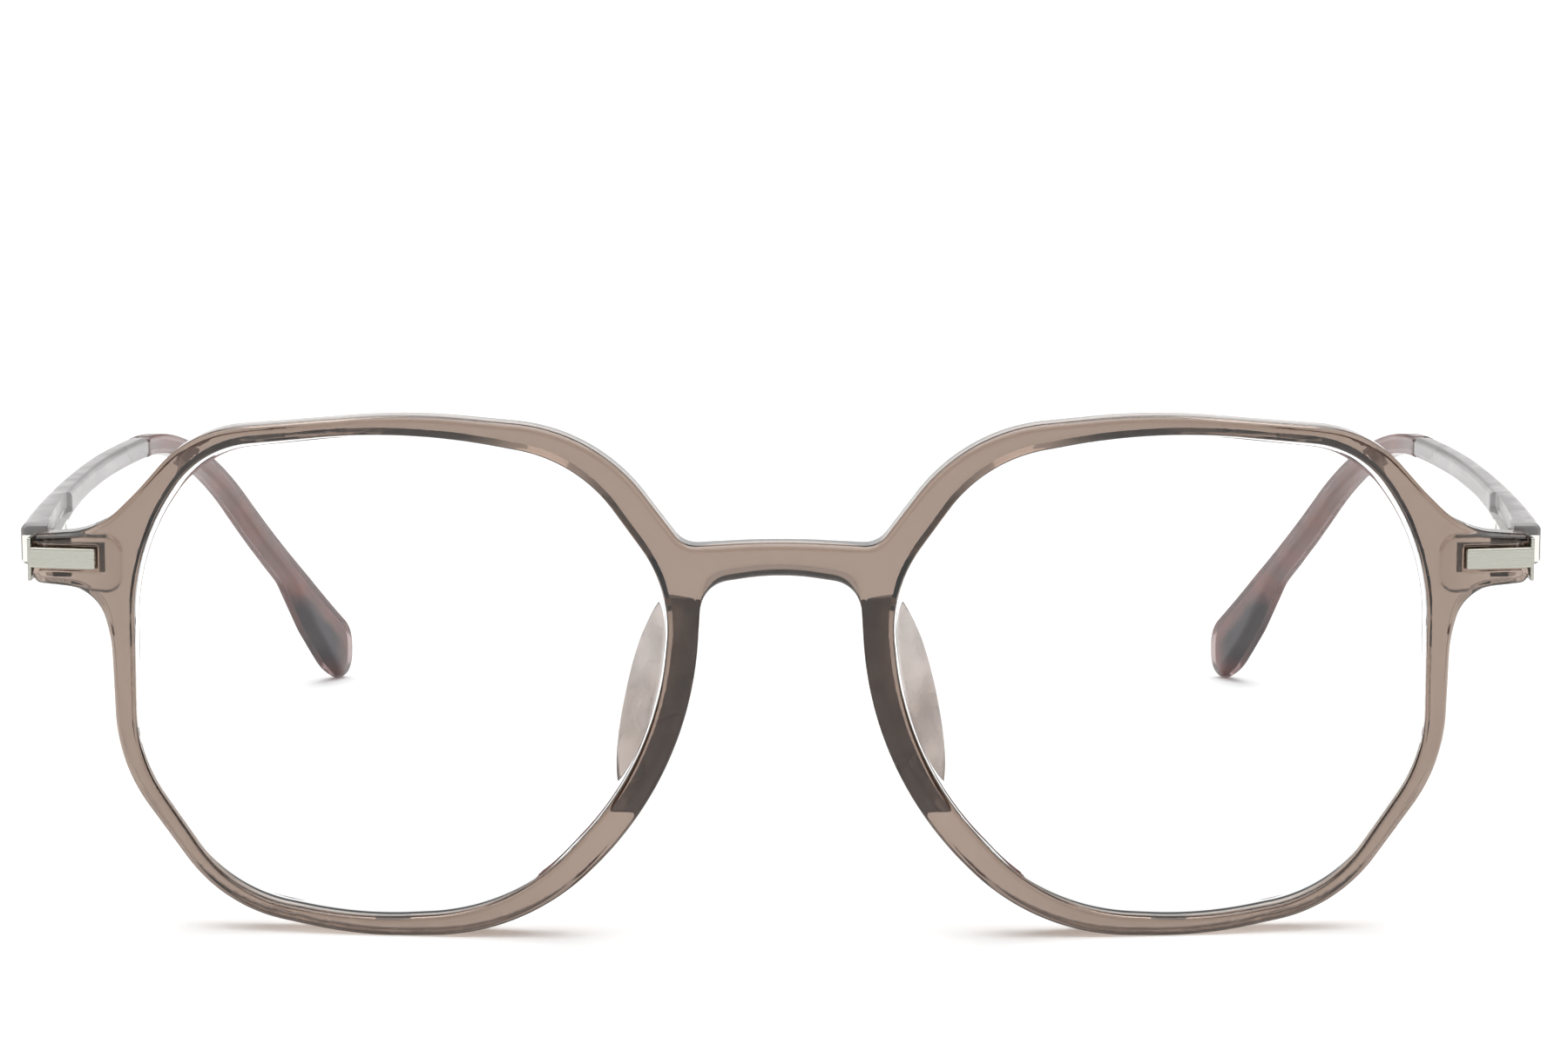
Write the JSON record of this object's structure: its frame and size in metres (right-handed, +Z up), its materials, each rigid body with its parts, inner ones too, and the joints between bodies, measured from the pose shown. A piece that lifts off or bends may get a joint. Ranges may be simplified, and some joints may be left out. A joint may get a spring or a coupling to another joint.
{
  "type": "eyeglasses",
  "caption": "Geometric eyeglasses: translucent moulded front with clear lenses, metal corner trims and slim temples that fold on screw hinges.",
  "frame": {"origin": "ground point under the centre of the bounding box, with the temples open", "axes": "+X to the wearer's left, +Y back towards the ears, +Z up; the lenses face -Y"},
  "size_m": [0.1494, 0.142, 0.0496],
  "materials": {
    "front_plastic": "translucent taupe, polished",
    "lens_glass": "clear, coated",
    "pad_plastic": "pale translucent, polished",
    "trim_metal": "satin silver",
    "hinge_metal": "satin",
    "screw_metal": "turned",
    "arm_plastic": "pale grey translucent, polished",
    "core_metal": "dark, seen through the tip",
    "tip_plastic": "translucent rose brown, polished"
  },
  "bodies": {
    "front": {"front_frame": "front_plastic", "right_lens": "lens_glass", "left_lens": "lens_glass", "right_nose_pad": "pad_plastic", "left_nose_pad": "pad_plastic", "right_corner_plate": "trim_metal", "left_corner_plate": "trim_metal", "right_front_hinge": "hinge_metal", "left_front_hinge": "hinge_metal", "right_hinge_screw": "screw_metal", "left_hinge_screw": "screw_metal"},
    "right_temple": {"right_temple_hinge": "hinge_metal", "right_temple_arm": "arm_plastic", "right_leaf_screws": "screw_metal", "right_tip_core": "core_metal", "right_temple_tip": "tip_plastic"},
    "left_temple": {"left_temple_hinge": "hinge_metal", "left_temple_arm": "arm_plastic", "left_leaf_screws": "screw_metal", "left_tip_core": "core_metal", "left_temple_tip": "tip_plastic"}
  },
  "joints": [
    {"name": "left_temple_fold", "type": "hinge", "parent": "front", "child": "left_temple", "pos_m": [0.0686, -0.0594, 0.03535], "axis": [0, 0, 1], "range_deg": [0, 83]},
    {"name": "right_temple_fold", "type": "hinge", "parent": "front", "child": "right_temple", "pos_m": [-0.0686, -0.0594, 0.03535], "axis": [0, 0, -1], "range_deg": [0, 78]}
  ]
}
